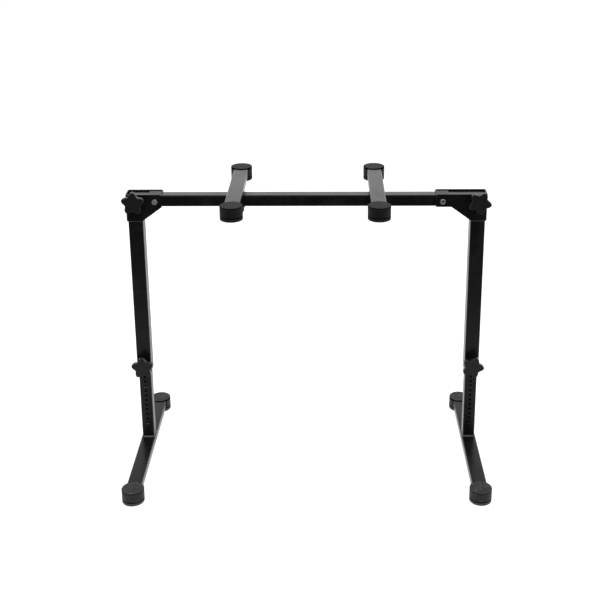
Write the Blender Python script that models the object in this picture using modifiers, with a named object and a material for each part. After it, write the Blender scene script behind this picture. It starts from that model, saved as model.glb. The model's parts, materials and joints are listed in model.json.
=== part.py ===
# Table stand for a keyboard: two telescoping T legs fold under a crossbar, and two support
# arms slide along it. Metres, +Z up, +X to the right, +Y to the back. The origin is on the
# floor, at the middle of the four feet. Everything is driven by the sizes below.
import math

import bmesh
import bpy
from mathutils import Matrix, Vector

# The whole stand
STAND_HEIGHT = 0.760        # floor to the top of the arm caps, at the height it is set to
LEG_SPACING = 0.884         # middle of one leg to the middle of the other
FOOT_SPACING = 0.469        # front foot to rear foot, middle to middle
LEG_SETBACK = 0.0315        # the legs stand this far behind the middle of the base bars
ARM_SPACING = 0.360         # middle of one support arm to the middle of the other
CAP_SPACING = 0.330         # front cap to rear cap of an arm, middle to middle

# Tubes
LEG_TUBE = 0.038            # outside of the square upper leg tube
WALL = 0.0015               # wall of every tube
CORNER = 0.003              # outside corner radius of every tube
CORNER_STEPS = 2            # straight pieces in one rounded corner
CROSSBAR_HEIGHT = 0.030
BAR_WIDTH = 0.038           # base bars and arm tubes share one flat section
BAR_HEIGHT = 0.020
BAR_REACH = 0.016           # a bar runs this far past the middle of its foot or cap

# Points closer than this become one
MERGE = 0.00001

# Air between pieces
GAP = 0.0003                # between pieces that touch, and around a screw in its hole
FOLD_GAP = 0.0007           # between the top of a leg and the crossbar
SLIDE_GAP = 0.0004          # between an arm's saddle and the sides of the crossbar
STACK_GAP = 0.002           # between folded legs, and between them and the arm saddles
END_GAP = 0.0045            # between the crossbar's plug and the bracket that swings round it

# Feet and arm caps share one moulding
FOOT_RADIUS = 0.0285
FOOT_HEIGHT = 0.036
FOOT_SEAT = 0.0137          # underside of the foot to its bar's pocket
FOOT_TAPER = 0.0002         # the foot is this much smaller in radius at its underside
FOOT_ROUND = 0.0012         # rounding of the foot's top and bottom edges
GROOVE_HEIGHT = 0.0090      # underside of the foot to its groove
GROOVE_WIDTH = 0.003
GROOVE_DEPTH = 0.0014
FOOT_SIDES = 24

# Height setting
HOLE_PITCH = 0.014
HOLE_COUNT = 24
HOLES_BELOW = 13            # holes below the clamp screw at the height it is set to
HOLE_RADIUS = 0.0033
HOLE_SIDES = 8
FIRST_HOLE = 0.043          # top of the base bar to the lowest hole
TUBE_ABOVE_HOLES = 0.061    # highest hole to the top of the inner tube
CLAMP_HEIGHT = 0.021        # lower end of the leg tube to its clamp screw

# Plastic guides of the telescope
BUSH_WALL = 0.0009
BUSH_DEPTH = 0.014          # how far the bush reaches up into the leg tube
BUSH_FLANGE = 0.003
GLIDE_HEAD = 0.006
PLUG_DEPTH = 0.015          # how far a plug reaches into its tube
PLUG_HEAD = 0.002

# Brackets at the top of the legs, folded from plate
PLATE = 0.003
BRACKET_DROP = 0.0375       # crossbar's underside to the bracket's lower edge
BRACKET_RISE = 0.004        # bracket's upper edge above the crossbar
GUSSET_SLOPE = 36.3         # degrees, slanted lower edge of the bracket
TONGUE = 0.017              # pivot to the bracket's inboard end
BEND_RADIUS = 0.004         # outside radius of the bracket's bends
BRACKET_BEAD = 0.0036       # height of the weld under the bracket
LINER_WALL = 0.0027         # plastic between the bracket and the crossbar
LINER_TOP = 0.002
LINER_LENGTH = 0.034
FOLD_CLAMP_RISE = 0.003     # the fold clamp's screw is this far above the crossbar's middle

# Saddles, folded from plate and welded under the arm tubes, straddle the crossbar
SADDLE_PLATE = 0.002
CHEEK_DROP = 0.0165         # crossbar's underside to the saddle's lower edge
CHEEK_CHAMFER = 0.005
ARM_BOLT_DROP = 0.0085      # crossbar's underside to the axis of the arm bolt

# Screws, bolts and knobs
SCREW_RADIUS = 0.004
SCREW_SIDES = 16
BOSS_RADIUS = 0.011
LEG_BOSS = 0.008            # length of the threaded boss on the leg tube
BRACKET_BOSS = 0.006        # length of the threaded boss on the bracket
WASHER_RADIUS = 0.010
WASHER = 0.0016
NUT_FLATS = 0.013
NUT_HEIGHT = 0.0075
HEAD_HEIGHT = 0.0053
BOLT_END = 0.003            # a bolt's end past its nut
ARM_HEAD_RADIUS = 0.009
ARM_HEAD_HEIGHT = 0.004
ROUND_SIDES = 20

KNOB_RADIUS = 0.030         # middle to the tip of a lobe
KNOB_VALLEY = 0.0205        # middle to the bottom of the hollow between two lobes
KNOB_LOBES = 5
KNOB_POINTS = 8             # outline points for each lobe
KNOB_THICKNESS = 0.013
KNOB_HUB_RADIUS = 0.0115
KNOB_HUB = 0.006            # length of the hub behind the lobes
KNOB_ROUND = 0.0015
KNOB_EDGE_ANGLE = 60        # degrees; edges sharper than this are rounded
KNOB_SKIN = 0.004           # plastic in front of the screw's end
# Degrees that each front knob is turned clockwise, from one lobe straight up
KNOB_TURNS = {"fold_left": 1, "fold_right": 29, "height_left": -4, "height_right": 21}
ARM_KNOB_RADIUS = 0.018
ARM_KNOB_VALLEY = 0.0125
ARM_KNOB_THICKNESS = 0.010
ARM_KNOB_HUB_RADIUS = 0.009
ARM_KNOB_HUB = 0.004

BASE_BEAD = 0.003           # height of the weld on the base bar, and its reach to front and back
BEAD_SIDE = 0.0009          # its reach to the left and right, where the bar is no wider
BEAD_EDGE = 0.0005          # thickness of a weld's thin edge

# Places that follow from the sizes
screw_hole = SCREW_RADIUS + GAP
leg_half = LEG_TUBE / 2
leg_y = LEG_SETBACK
inner_tube = LEG_TUBE - 2 * WALL - 2 * (BUSH_WALL + 2 * GAP)
inner_half = inner_tube / 2
bracket_half = leg_half + GAP               # middle of a leg to the inside of its bracket
crossbar_depth = 2 * (bracket_half - LINER_WALL - 2 * GAP)
crossbar_half = crossbar_depth / 2

cap_z = STAND_HEIGHT - FOOT_HEIGHT
arm_z = cap_z + FOOT_SEAT + GAP             # underside of the arm tubes
crossbar_top = arm_z - SADDLE_PLATE - 2 * GAP
crossbar_bottom = crossbar_top - CROSSBAR_HEIGHT
pivot_z = crossbar_bottom + CROSSBAR_HEIGHT / 2
fold_clamp_z = pivot_z + FOLD_CLAMP_RISE
leg_top = crossbar_bottom - FOLD_GAP
bracket_bottom = crossbar_bottom - BRACKET_DROP
bracket_top = crossbar_top + BRACKET_RISE
saddle_bottom = crossbar_bottom - CHEEK_DROP
arm_bolt_z = crossbar_bottom - ARM_BOLT_DROP

bar_z = FOOT_SEAT + GAP
bar_top = bar_z + BAR_HEIGHT
first_hole_z = bar_top + FIRST_HOLE
clamp_z = first_hole_z + HOLES_BELOW * HOLE_PITCH
leg_bottom = clamp_z - CLAMP_HEIGHT
inner_top = first_hole_z + (HOLE_COUNT - 1) * HOLE_PITCH + TUBE_ABOVE_HOLES

# One leg folds up under the arm saddles and the other folds up under the first
pivot_inset_left = pivot_z - saddle_bottom + STACK_GAP
pivot_inset_right = pivot_inset_left + LEG_TUBE + STACK_GAP
web_inside = leg_half + GAP                 # middle of a leg to the bracket's outer web
crossbar_end = LEG_SPACING / 2 + web_inside - PLUG_HEAD - END_GAP

sides = {"left": -1, "right": 1}
pivot_inset = {"left": pivot_inset_left, "right": pivot_inset_right}

scene = bpy.context.scene


def clear_scene():
    for thing in list(scene.objects):
        bpy.data.objects.remove(thing, do_unlink=True)


def new_collection(name):
    collection = bpy.data.collections.new(name)
    scene.collection.children.link(collection)
    return collection


def new_material(name, color, roughness, metallic):
    material = bpy.data.materials.new(name)
    material.use_nodes = True
    shader = material.node_tree.nodes["Principled BSDF"]
    shader.inputs["Base Color"].default_value = (*color, 1.0)
    shader.inputs["Roughness"].default_value = roughness
    shader.inputs["Metallic"].default_value = metallic
    material.diffuse_color = (*color, 1.0)
    return material


def rounded_rectangle(width, height, radius):
    points = []
    for corner in range(4):
        sign_a = 1 if corner in (0, 3) else -1
        sign_b = 1 if corner in (0, 1) else -1
        for step in range(CORNER_STEPS + 1):
            angle = math.radians(90 * (corner + step / CORNER_STEPS))
            points.append((sign_a * (width / 2 - radius) + radius * math.cos(angle),
                           sign_b * (height / 2 - radius) + radius * math.sin(angle)))
    return points


def rectangle(width, height):
    a, b = width / 2, height / 2
    return [(-a, -b), (a, -b), (a, b), (-a, b)]


def circle(radius, count):
    return [(radius * math.cos(2 * math.pi * i / count), radius * math.sin(2 * math.pi * i / count))
            for i in range(count)]


def hexagon(flats):
    return circle(flats / math.sqrt(3), 6)


def star(tip, valley):
    count = KNOB_LOBES * KNOB_POINTS
    points = []
    for i in range(count):
        angle = 2 * math.pi * i / count
        radius = (tip + valley) / 2 + (tip - valley) / 2 * math.cos(KNOB_LOBES * angle)
        points.append((radius * math.sin(angle), radius * math.cos(angle)))
    return points


def moved(points, a, b):
    return [(x + a, y + b) for x, y in points]


# A prism's outlines lie in the two other axes, in the order X, Y, Z
turned_to = {
    "X": Matrix(((0, 0, 1, 0), (1, 0, 0, 0), (0, 1, 0, 0), (0, 0, 0, 1))),
    "Y": Matrix(((1, 0, 0, 0), (0, 0, -1, 0), (0, 1, 0, 0), (0, 0, 0, 1))),
    "Z": Matrix.Identity(4),
}


def prism(outlines, low, high, axis):
    """A flat outline, with holes where outlines lie inside it, as a mesh from low to high."""
    curve = bpy.data.curves.new("outline", "CURVE")
    curve.dimensions = "2D"
    curve.fill_mode = "BOTH"
    curve.extrude = (high - low) / 2
    for points in outlines:
        spline = curve.splines.new("POLY")
        spline.points.add(len(points) - 1)
        for point, (a, b) in zip(spline.points, points):
            point.co = (a, b, 0, 1)
        spline.use_cyclic_u = True
    guide = bpy.data.objects.new("outline", curve)
    scene.collection.objects.link(guide)
    mesh = bpy.data.meshes.new_from_object(guide.evaluated_get(bpy.context.evaluated_depsgraph_get()))
    bpy.data.objects.remove(guide, do_unlink=True)
    bpy.data.curves.remove(curve)
    middle = (low + high) / 2
    mesh.transform(turned_to[axis] @ Matrix.Translation((0, 0, -middle if axis == "Y" else middle)))
    cage = bmesh.new()
    cage.from_mesh(mesh)
    bmesh.ops.remove_doubles(cage, verts=cage.verts, dist=MERGE)
    bmesh.ops.recalc_face_normals(cage, faces=cage.faces)
    cage.to_mesh(mesh)
    cage.free()
    return mesh


def joined(meshes):
    """Several meshes as one, their bodies kept apart."""
    cage = bmesh.new()
    for mesh in meshes:
        cage.from_mesh(mesh)
        bpy.data.meshes.remove(mesh)
    mesh = bpy.data.meshes.new("group")
    cage.to_mesh(mesh)
    cage.free()
    return mesh


def frustum(low_size, high_size, low, high):
    """A box whose top face is larger or smaller than its bottom face."""
    cage = bmesh.new()
    bmesh.ops.create_cube(cage, size=2.0)
    for vert in cage.verts:
        top = vert.co.z > 0
        width, depth = high_size if top else low_size
        vert.co = Vector((vert.co.x * width / 2, vert.co.y * depth / 2, high if top else low))
    mesh = bpy.data.meshes.new("frustum")
    cage.to_mesh(mesh)
    cage.free()
    return mesh


def tube(width, height, low, high, axis):
    outside = rounded_rectangle(width, height, CORNER)
    inside = rounded_rectangle(width - 2 * WALL, height - 2 * WALL, CORNER - WALL)
    return prism([outside, inside], low, high, axis)


def new_empty(name, at, parent=None):
    empty = bpy.data.objects.new(name, None)
    empty.empty_display_size = 0.05
    stand.objects.link(empty)
    empty.parent = parent
    empty.location = Vector(at) - (parent.matrix_world.translation if parent else Vector())
    bpy.context.view_layer.update()
    return empty


def new_part(name, mesh, material, parent, at, shade_angle=40):
    mesh.name = name
    part = bpy.data.objects.new(name, mesh)
    stand.objects.link(part)
    if not mesh.materials:
        mesh.materials.append(material)
        mesh.shade_smooth()
        mesh.set_sharp_from_angle(angle=math.radians(shade_angle))
    part.parent = parent
    part.location = Vector(at) - (parent.matrix_world.translation if parent else Vector())
    bpy.context.view_layer.update()
    return part


def new_cutter(name, mesh, at):
    cutter = bpy.data.objects.new(name, mesh)
    cutters.objects.link(cutter)
    cutter.location = at
    cutter.hide_render = True
    cutter.display_type = "WIRE"
    return cutter


def combine(part, cutter, operation):
    boolean = part.modifiers.new(cutter.name, "BOOLEAN")
    boolean.object = cutter
    boolean.operation = operation
    boolean.solver = "EXACT"


clear_scene()
stand = new_collection("table_keyboard_stand")
cutters = new_collection("cutters")

powder_coat = new_material("black_powder_coat", (0.022, 0.022, 0.023), 0.5, 0.0)
rubber = new_material("black_rubber", (0.030, 0.030, 0.031), 0.75, 0.0)
knob_plastic = new_material("knob_plastic", (0.035, 0.035, 0.036), 0.45, 0.0)
guide_plastic = new_material("guide_plastic", (0.020, 0.020, 0.020), 0.55, 0.0)
zinc_steel = new_material("zinc_plated_steel", (0.62, 0.62, 0.60), 0.35, 1.0)


def make_foot_mesh():
    """The turned foot, before its pocket is cut, standing on its underside."""
    low_radius = FOOT_RADIUS - FOOT_TAPER

    def wall(z):
        return low_radius + FOOT_TAPER * z / FOOT_HEIGHT

    groove_low = GROOVE_HEIGHT - GROOVE_WIDTH / 2
    groove_high = GROOVE_HEIGHT + GROOVE_WIDTH / 2
    profile = [
        (0, FOOT_HEIGHT),
        (FOOT_RADIUS - FOOT_ROUND, FOOT_HEIGHT),
        (FOOT_RADIUS, FOOT_HEIGHT - FOOT_ROUND),
        (wall(groove_high), groove_high),
        (wall(groove_high) - GROOVE_DEPTH, GROOVE_HEIGHT),
        (wall(groove_low), groove_low),
        (low_radius, FOOT_ROUND),
        (low_radius - FOOT_ROUND, 0),
        (0, 0),
    ]
    mesh = bpy.data.meshes.new("foot")
    mesh.from_pydata([(x, 0, z) for x, z in profile], [(i, i + 1) for i in range(len(profile) - 1)], [])
    return mesh


def make_foot(name, parent, at, facing):
    """A foot or arm cap at the end of a bar, which enters its pocket from the side of -facing."""
    foot = new_part(name, make_foot_mesh(), rubber, parent, at)
    screw = foot.modifiers.new("turn", "SCREW")
    screw.steps = FOOT_SIDES
    screw.render_steps = FOOT_SIDES
    screw.use_merge_vertices = True
    screw.merge_threshold = MERGE
    screw.use_smooth_shade = True
    outline = rectangle(BAR_WIDTH + 2 * GAP, BAR_HEIGHT + 2 * GAP)
    inner_end = facing * (BAR_REACH + GAP)
    open_end = -facing * 2 * FOOT_RADIUS
    pocket = prism([moved(outline, 0, FOOT_SEAT + GAP + BAR_HEIGHT / 2)],
                   min(inner_end, open_end), max(inner_end, open_end), "Y")
    combine(foot, new_cutter(name + "_pocket", pocket, at), "DIFFERENCE")


def make_knob(name, parent, at, sizes, bore, turn=0, turned_round=False):
    """A star knob on its screw's axis. Its hub faces +Y, or -Y when it is turned round."""
    tip, valley, hub_radius, thickness, hub = sizes
    lobes = prism([star(tip, valley)], -hub - thickness, -hub, "Y")
    knob = new_part(name, lobes, knob_plastic, parent, at)
    bevel = knob.modifiers.new("edges", "BEVEL")
    bevel.width = KNOB_ROUND
    bevel.segments = 1
    bevel.limit_method = "ANGLE"
    bevel.angle_limit = math.radians(KNOB_EDGE_ANGLE)
    overlap = thickness / 3
    hub_mesh = prism([circle(hub_radius, ROUND_SIDES)], -hub - overlap, 0, "Y")
    bore_mesh = prism([circle(screw_hole, SCREW_SIDES)], -bore, hub, "Y")
    for cutter_name, mesh, operation in (("_hub", hub_mesh, "UNION"), ("_bore", bore_mesh, "DIFFERENCE")):
        cutter = new_cutter(name + cutter_name, mesh, at)
        cutter.rotation_euler.z = math.pi if turned_round else 0
        combine(knob, cutter, operation)
    knob.rotation_euler = (0, math.radians(turn), math.pi if turned_round else 0)


def make_ring(radius, low, high):
    return prism([circle(radius, ROUND_SIDES), circle(screw_hole, SCREW_SIDES)], low, high, "Y")


def make_crossbar():
    body = new_empty("crossbar_frame", (0, leg_y, pivot_z))
    bar = new_part("crossbar", tube(crossbar_depth, CROSSBAR_HEIGHT, -crossbar_end, crossbar_end, "X"),
                   powder_coat, body, (0, leg_y, pivot_z))
    for side, sign in sides.items():
        pivot_x = sign * (LEG_SPACING / 2 - leg_half - pivot_inset[side])
        pivot = (pivot_x, leg_y, pivot_z)
        hole = prism([circle(screw_hole, SCREW_SIDES)], -LEG_TUBE, LEG_TUBE, "Y")
        combine(bar, new_cutter("crossbar_hole_" + side, hole, pivot), "DIFFERENCE")
        liner = new_part("crossbar_liner_" + side, make_liner_mesh(), guide_plastic, body, pivot)
        combine(liner, new_cutter("liner_hole_" + side, hole.copy(), pivot), "DIFFERENCE")
        make_plug("crossbar_plug_" + side, body, sign)
    return body


def channel_outline(inside, wall, top, roof, low):
    """A U that opens downwards, with its roof between roof and top."""
    outside = inside + wall
    return [(-outside, low), (-inside, low), (-inside, roof), (inside, roof), (inside, low), (outside, low),
            (outside, top - wall), (outside - wall, top), (-outside + wall, top), (-outside, top - wall)]


def make_liner_mesh():
    half = CROSSBAR_HEIGHT / 2
    roof = half + GAP
    outline = channel_outline(crossbar_half + GAP, LINER_WALL, roof + LINER_TOP, roof, -half)
    return prism([outline], -LINER_LENGTH / 2, LINER_LENGTH / 2, "X")


def make_plug(name, parent, sign):
    inside = rounded_rectangle(crossbar_depth - 2 * WALL - 2 * GAP, CROSSBAR_HEIGHT - 2 * WALL - 2 * GAP,
                               CORNER - WALL)
    head = rounded_rectangle(crossbar_depth, CROSSBAR_HEIGHT, CORNER)
    at = (sign * crossbar_end, leg_y, pivot_z)
    ends = sorted((-sign * PLUG_DEPTH, sign * (GAP + PLUG_HEAD / 2)))
    plug = new_part(name, prism([inside], *ends, "X"), guide_plastic, parent, at)
    ends = sorted((sign * GAP, sign * (GAP + PLUG_HEAD)))
    combine(plug, new_cutter(name + "_head", prism([head], *ends, "X"), at), "UNION")


def make_bracket(side, sign, parent, leg_x):
    """A plate folded round the leg, seen from above as a U that is open to the inboard side."""
    outside = bracket_half + PLATE
    inboard = leg_half + pivot_inset[side] + TONGUE
    length = 2 * (inboard + outside)
    middle = sign * (outside - length / 2)
    channel = [moved(rounded_rectangle(length, 2 * outside, BEND_RADIUS), middle, 0),
               moved(rounded_rectangle(length - 2 * PLATE, 2 * bracket_half, BEND_RADIUS - PLATE), middle, 0)]
    at = (leg_x, leg_y, 0)
    bracket = new_part("bracket_" + side, prism(channel, bracket_bottom, bracket_top, "Z"),
                       powder_coat, parent, at)
    slant = (crossbar_bottom - bracket_bottom) / math.tan(math.radians(GUSSET_SLOPE))
    side_view = [
        (sign * 2 * outside, bracket_bottom - PLATE),
        (-sign * leg_half, bracket_bottom - PLATE),
        (-sign * leg_half, bracket_bottom),
        (-sign * (leg_half + slant), crossbar_bottom),
        (-sign * inboard, crossbar_bottom),
        (-sign * inboard, bracket_top + PLATE),
        (sign * 2 * outside, bracket_top + PLATE),
    ]
    if inboard < leg_half + slant:
        cut_z = bracket_bottom + (inboard - leg_half) * math.tan(math.radians(GUSSET_SLOPE))
        side_view[3:5] = [(-sign * inboard, cut_z)]
    pivot_hole = moved(circle(screw_hole, SCREW_SIDES), -sign * (leg_half + pivot_inset[side]), pivot_z)
    profile = prism([side_view, pivot_hole], -2 * outside, 2 * outside, "Y")
    combine(bracket, new_cutter("bracket_profile_" + side, profile, at), "INTERSECT")
    clamp_hole = prism([circle(screw_hole, SCREW_SIDES)], -2 * outside, 0, "Y")
    at_clamp = (leg_x, leg_y, fold_clamp_z)
    combine(bracket, new_cutter("bracket_hole_" + side, clamp_hole, at_clamp), "DIFFERENCE")

    bead_top = bracket_bottom - GAP
    low_size = 2 * (bracket_half + BEAD_EDGE)
    bead = frustum((low_size, low_size), (2 * outside, 2 * outside), bead_top - BRACKET_BEAD, bead_top)
    weld = new_part("bracket_weld_" + side, bead, powder_coat, parent, at)
    opening = prism([moved(rectangle(2 * LEG_TUBE, 2 * bracket_half), -sign * (LEG_TUBE - web_inside), 0)],
                    bead_top - 2 * BRACKET_BEAD, bead_top + BRACKET_BEAD, "Z")
    combine(weld, new_cutter("bracket_weld_opening_" + side, opening, at), "DIFFERENCE")


def make_pivot(side, sign, parent, leg_x):
    pivot = (leg_x - sign * (leg_half + pivot_inset[side]), leg_y, pivot_z)
    face = bracket_half + PLATE + GAP
    nut_end = face + NUT_HEIGHT
    shank = prism([circle(SCREW_RADIUS, SCREW_SIDES)], -face - HEAD_HEIGHT / 2, nut_end + BOLT_END, "Y")
    bolt = new_part("pivot_bolt_" + side, shank, zinc_steel, parent, pivot)
    head = prism([hexagon(NUT_FLATS)], -face - HEAD_HEIGHT, -face, "Y")
    combine(bolt, new_cutter("pivot_head_" + side, head, pivot), "UNION")
    nut = prism([hexagon(NUT_FLATS), circle(screw_hole, SCREW_SIDES)], face, nut_end, "Y")
    new_part("pivot_nut_" + side, nut, zinc_steel, parent, pivot)


def make_clamp(place, side, parent, x, z, face, boss, tip):
    """A threaded boss on a face, and the washer, screw and star knob that turn in it."""
    boss_end = face - GAP - boss
    new_part(f"{place}_boss_{side}", make_ring(BOSS_RADIUS, boss_end, face - GAP), powder_coat, parent,
             (x, leg_y, z))
    washer_end = boss_end - GAP - WASHER
    knob_back = washer_end - GAP
    slider = new_empty(f"{place}_clamp_{side}", (x, leg_y + boss_end, z), parent)
    new_part(f"{place}_washer_{side}", make_ring(WASHER_RADIUS, washer_end, washer_end + WASHER), zinc_steel,
             slider, (x, leg_y, z))
    sizes = (KNOB_RADIUS, KNOB_VALLEY, KNOB_HUB_RADIUS, KNOB_THICKNESS, KNOB_HUB)
    bore = KNOB_HUB + KNOB_THICKNESS - KNOB_SKIN
    make_knob(f"{place}_knob_{side}", slider, (x, leg_y + knob_back, z), sizes, bore,
              turn=KNOB_TURNS[f"{place}_{side}"])
    screw = prism([circle(SCREW_RADIUS, SCREW_SIDES)], knob_back - bore + GAP, tip, "Y")
    new_part(f"{place}_screw_{side}", screw, zinc_steel, slider, (x, leg_y, z))


def make_upper_leg(side, sign):
    leg_x = sign * LEG_SPACING / 2
    pivot_x = leg_x - sign * (leg_half + pivot_inset[side])
    leg = new_empty("leg_" + side, (pivot_x, leg_y, pivot_z))
    outer = new_part("leg_tube_" + side, tube(LEG_TUBE, LEG_TUBE, leg_bottom, leg_top, "Z"), powder_coat, leg,
                     (leg_x, leg_y, 0))
    hole = prism([circle(screw_hole, SCREW_SIDES)], -LEG_TUBE, 0, "Y")
    combine(outer, new_cutter("clamp_hole_" + side, hole, (leg_x, leg_y, clamp_z)), "DIFFERENCE")

    sleeve = [rounded_rectangle(LEG_TUBE - 2 * WALL - 2 * GAP, LEG_TUBE - 2 * WALL - 2 * GAP, CORNER - WALL),
              rounded_rectangle(inner_tube + 2 * GAP, inner_tube + 2 * GAP, CORNER)]
    flange = [rounded_rectangle(LEG_TUBE, LEG_TUBE, CORNER), sleeve[1]]
    at = (leg_x, leg_y, leg_bottom)
    bush = new_part("guide_bush_" + side, prism(sleeve, -GAP - BUSH_FLANGE, BUSH_DEPTH, "Z"), guide_plastic,
                    leg, at)
    flange_mesh = prism(flange, -GAP - BUSH_FLANGE, -GAP, "Z")
    combine(bush, new_cutter("guide_flange_" + side, flange_mesh, at), "UNION")

    make_bracket(side, sign, leg, leg_x)
    make_pivot(side, sign, leg, leg_x)
    make_clamp("fold", side, leg, leg_x, fold_clamp_z, -bracket_half - PLATE, BRACKET_BOSS,
               -crossbar_half - GAP)
    make_clamp("height", side, leg, leg_x, clamp_z, -leg_half, LEG_BOSS, -inner_half - GAP)
    return leg


def make_lower_leg(side, sign, leg):
    leg_x = sign * LEG_SPACING / 2
    base = new_empty("base_" + side, (leg_x, leg_y, bar_top), leg)
    inner = new_part("inner_tube_" + side, tube(inner_tube, inner_tube, bar_top + GAP, inner_top, "Z"),
                     powder_coat, base, (leg_x, leg_y, 0))
    drills = [prism([moved(circle(HOLE_RADIUS, HOLE_SIDES), 0, first_hole_z + i * HOLE_PITCH)],
                    -LEG_TUBE, 0, "Y") for i in range(HOLE_COUNT)]
    combine(inner, new_cutter("height_holes_" + side, joined(drills), (leg_x, leg_y, 0)), "DIFFERENCE")

    cavity = inner_tube - 2 * WALL - 2 * GAP
    head = LEG_TUBE - 2 * WALL - 2 * GAP
    at = (leg_x, leg_y, inner_top)
    spigot = prism([rounded_rectangle(cavity, cavity, CORNER - WALL)], -PLUG_DEPTH, GLIDE_HEAD / 2, "Z")
    glide = new_part("glide_cap_" + side, spigot, guide_plastic, base, at)
    head_mesh = prism([rounded_rectangle(head, head, CORNER - WALL)], GAP, GAP + GLIDE_HEAD, "Z")
    combine(glide, new_cutter("glide_head_" + side, head_mesh, at), "UNION")

    reach = FOOT_SPACING / 2 + BAR_REACH
    bar = tube(BAR_WIDTH, BAR_HEIGHT, -reach, reach, "Y")
    new_part("base_bar_" + side, bar, powder_coat, base, (leg_x, 0, bar_z + BAR_HEIGHT / 2))
    clear = inner_tube + 2 * GAP
    thin = clear + 2 * BEAD_EDGE
    bead = frustum((clear + 2 * BEAD_SIDE, clear + 2 * BASE_BEAD), (thin, thin),
                   bar_top + GAP, bar_top + GAP + BASE_BEAD)
    weld = new_part("base_weld_" + side, bead, powder_coat, base, (leg_x, leg_y, 0))
    slot = prism([rounded_rectangle(clear, clear, CORNER)], bar_z, bar_top + 2 * BASE_BEAD, "Z")
    combine(weld, new_cutter("base_weld_slot_" + side, slot, (leg_x, leg_y, 0)), "DIFFERENCE")

    for place, facing in (("front", -1), ("rear", 1)):
        make_foot(f"foot_{place}_{side}", base, (leg_x, facing * FOOT_SPACING / 2, 0), facing)


def make_arm(side, sign, crossbar):
    arm_x = sign * ARM_SPACING / 2
    arm = new_empty("arm_" + side, (arm_x, leg_y, crossbar_top), crossbar)
    reach = CAP_SPACING / 2 + BAR_REACH
    new_part("arm_tube_" + side, tube(BAR_WIDTH, BAR_HEIGHT, -reach, reach, "Y"), powder_coat, arm,
             (arm_x, leg_y, arm_z + BAR_HEIGHT / 2))
    for place, facing in (("front", -1), ("rear", 1)):
        make_foot(f"arm_cap_{place}_{side}", arm, (arm_x, leg_y + facing * CAP_SPACING / 2, cap_z), facing)

    half = BAR_WIDTH / 2
    top = arm_z - GAP
    inside = crossbar_half + SLIDE_GAP
    channel = channel_outline(inside, SADDLE_PLATE, top, top - SADDLE_PLATE, saddle_bottom)
    saddle = new_part("arm_saddle_" + side, prism([channel], -half, half, "X"), powder_coat, arm,
                      (arm_x, leg_y, 0))
    outline = [(-half, top), (-half, saddle_bottom + CHEEK_CHAMFER), (-half + CHEEK_CHAMFER, saddle_bottom),
               (half - CHEEK_CHAMFER, saddle_bottom), (half, saddle_bottom + CHEEK_CHAMFER), (half, top)]
    hole = moved(circle(screw_hole, SCREW_SIDES), 0, arm_bolt_z)
    profile = prism([outline, hole], -LEG_TUBE, LEG_TUBE, "Y")
    combine(saddle, new_cutter("saddle_profile_" + side, profile, (arm_x, leg_y, 0)), "INTERSECT")

    face = inside + SADDLE_PLATE + GAP
    at = (arm_x, leg_y, arm_bolt_z)
    washer_end = face + WASHER
    knob_back = washer_end + GAP
    bore = ARM_KNOB_HUB + ARM_KNOB_THICKNESS - KNOB_SKIN
    bolt_end = knob_back + bore - GAP
    shank = prism([circle(SCREW_RADIUS, SCREW_SIDES)], -face - ARM_HEAD_HEIGHT / 2, bolt_end, "Y")
    bolt = new_part("arm_bolt_" + side, shank, zinc_steel, arm, at)
    head = prism([circle(ARM_HEAD_RADIUS, ROUND_SIDES)], -face - ARM_HEAD_HEIGHT, -face, "Y")
    combine(bolt, new_cutter("arm_bolt_head_" + side, head, at), "UNION")
    slider = new_empty("arm_clamp_" + side, (arm_x, leg_y + face, arm_bolt_z), arm)
    new_part("arm_washer_" + side, make_ring(WASHER_RADIUS, face, washer_end), zinc_steel, slider, at)
    sizes = (ARM_KNOB_RADIUS, ARM_KNOB_VALLEY, ARM_KNOB_HUB_RADIUS, ARM_KNOB_THICKNESS, ARM_KNOB_HUB)
    make_knob("arm_knob_" + side, slider, (arm_x, leg_y + knob_back, arm_bolt_z), sizes, bore,
              turned_round=True)


crossbar = make_crossbar()
for side, sign in sides.items():
    leg = make_upper_leg(side, sign)
    make_lower_leg(side, sign, leg)
    make_arm(side, sign, crossbar)
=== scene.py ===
# Looks of a table keyboard stand: powder-coated tubes and plates, moulded rubber feet and caps,
# star knobs and zinc-plated screws. Every piece takes its place from the node it stands for.
import json
import math

import bmesh
import bpy
from mathutils import Matrix, Vector

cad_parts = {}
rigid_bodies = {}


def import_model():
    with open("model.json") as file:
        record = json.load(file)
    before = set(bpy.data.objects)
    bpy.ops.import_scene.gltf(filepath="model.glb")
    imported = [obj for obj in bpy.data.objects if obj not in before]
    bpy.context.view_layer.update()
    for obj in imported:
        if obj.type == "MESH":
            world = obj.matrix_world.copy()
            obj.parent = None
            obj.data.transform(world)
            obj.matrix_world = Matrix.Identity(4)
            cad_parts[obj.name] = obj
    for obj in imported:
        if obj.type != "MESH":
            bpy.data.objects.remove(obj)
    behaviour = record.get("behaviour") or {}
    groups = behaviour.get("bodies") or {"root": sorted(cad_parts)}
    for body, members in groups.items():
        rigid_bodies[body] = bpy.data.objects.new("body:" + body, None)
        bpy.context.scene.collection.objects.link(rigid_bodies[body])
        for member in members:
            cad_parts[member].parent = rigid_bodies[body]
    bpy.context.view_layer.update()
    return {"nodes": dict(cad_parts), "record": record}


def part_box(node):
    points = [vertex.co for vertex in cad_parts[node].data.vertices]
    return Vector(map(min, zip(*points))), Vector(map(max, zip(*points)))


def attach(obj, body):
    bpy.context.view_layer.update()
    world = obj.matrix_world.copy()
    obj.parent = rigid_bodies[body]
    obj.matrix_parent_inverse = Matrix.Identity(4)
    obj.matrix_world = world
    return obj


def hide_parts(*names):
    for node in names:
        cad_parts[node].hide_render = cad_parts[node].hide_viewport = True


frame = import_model()
scene = bpy.context.scene
hands = {"left": -1, "right": 1}
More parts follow.
